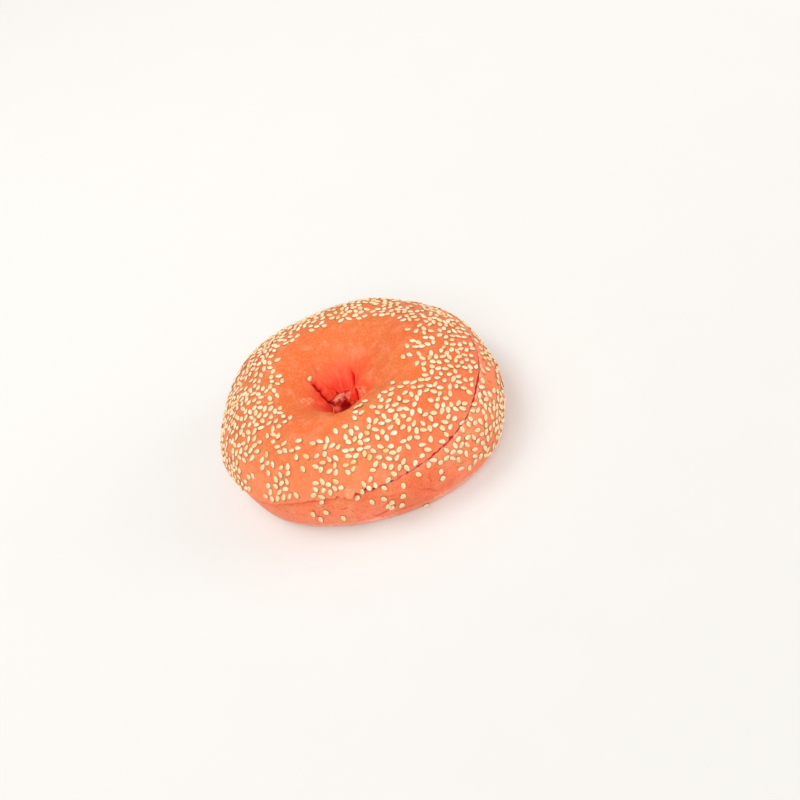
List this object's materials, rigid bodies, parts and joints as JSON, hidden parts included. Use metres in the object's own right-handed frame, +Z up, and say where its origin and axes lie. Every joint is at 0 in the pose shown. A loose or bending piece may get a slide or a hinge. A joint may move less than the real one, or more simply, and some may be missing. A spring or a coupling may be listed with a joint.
{
  "type": "beetroot bagel",
  "caption": "Sliced ring of baked beetroot dough with a funnel-shaped hole, flat underneath, both halves together and sesame seeds on the crust.",
  "frame": {"origin": "bottom centre of the whole bagel, on the surface that it rests on", "axes": "+Z up through the hole, out of the top half; the picture looks along +Y from about 40 degrees above, so -Y is the side nearest the camera and +X is to the right"},
  "size_m": [0.1146, 0.1146, 0.0416],
  "materials": {
    "top_crust": "smooth baked dough, dull with a faint soft sheen, redder in the hole",
    "bottom_crust": "smooth baked dough, dull, pinker and lighter towards the base",
    "crumb": "cut bread crumb, matte, finely porous",
    "sesame_seed": "hulled sesame seed, cream with some golden ones, smooth and slightly waxy"
  },
  "bodies": {
    "root": {"bagel_bottom_half": "bottom_crust", "bagel_top_half": "top_crust"}
  },
  "joints": []
}
